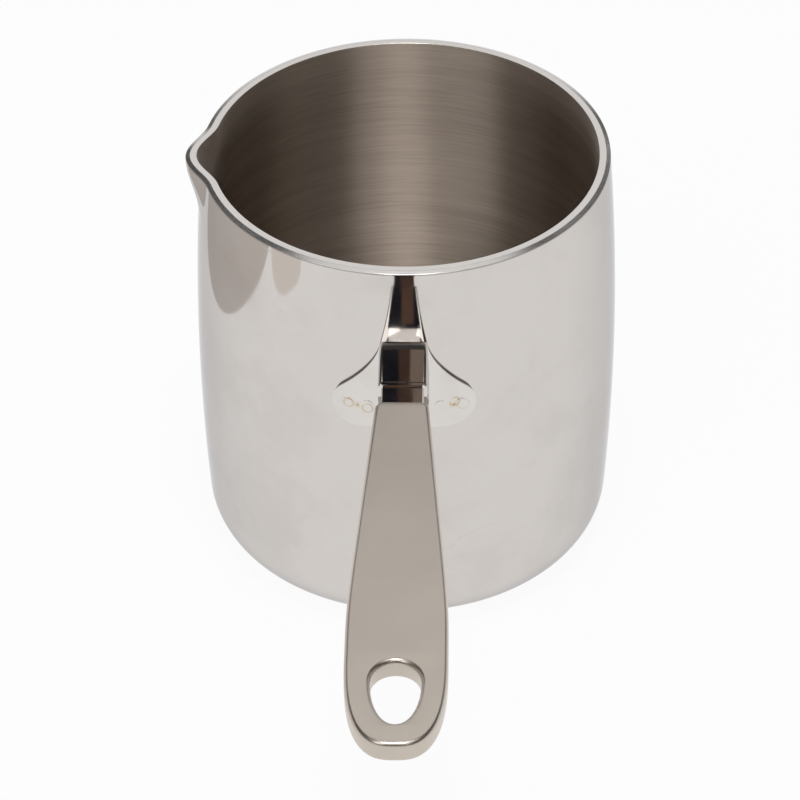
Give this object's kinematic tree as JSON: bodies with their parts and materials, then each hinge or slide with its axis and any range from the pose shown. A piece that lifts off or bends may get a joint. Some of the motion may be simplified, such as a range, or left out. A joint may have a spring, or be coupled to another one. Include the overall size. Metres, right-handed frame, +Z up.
{
  "type": "butter warmer",
  "caption": "Small straight-sided steel pot, mirror-polished, with a pouring lip at the rim and a flat satin bar handle with a hang hole on a spot-welded bracket.",
  "frame": {"origin": "centre of the flat base, on the surface that the pot stands on", "axes": "+Z up along the pot's axis, the handle along -Y, the pouring lip along -X"},
  "size_m": [0.1007, 0.2484, 0.1058],
  "materials": {
    "pot_steel": "stainless steel, mirror-polished outside with fine hairlines, brushed round inside",
    "bracket_steel": "stainless steel sheet, pressed and polished",
    "bar_steel": "stainless steel, satin, brushed lengthwise",
    "weld_steel": "stainless steel, straw-brown heat tint"
  },
  "bodies": {
    "root": {"pot_body": "pot_steel", "handle_bracket": "bracket_steel", "handle_bar": "bar_steel", "neck_weld": "bracket_steel", "spot_weld_left_outer": "weld_steel", "spot_weld_left_inner": "weld_steel", "spot_weld_right_inner": "weld_steel", "spot_weld_right_outer": "weld_steel"}
  },
  "joints": []
}
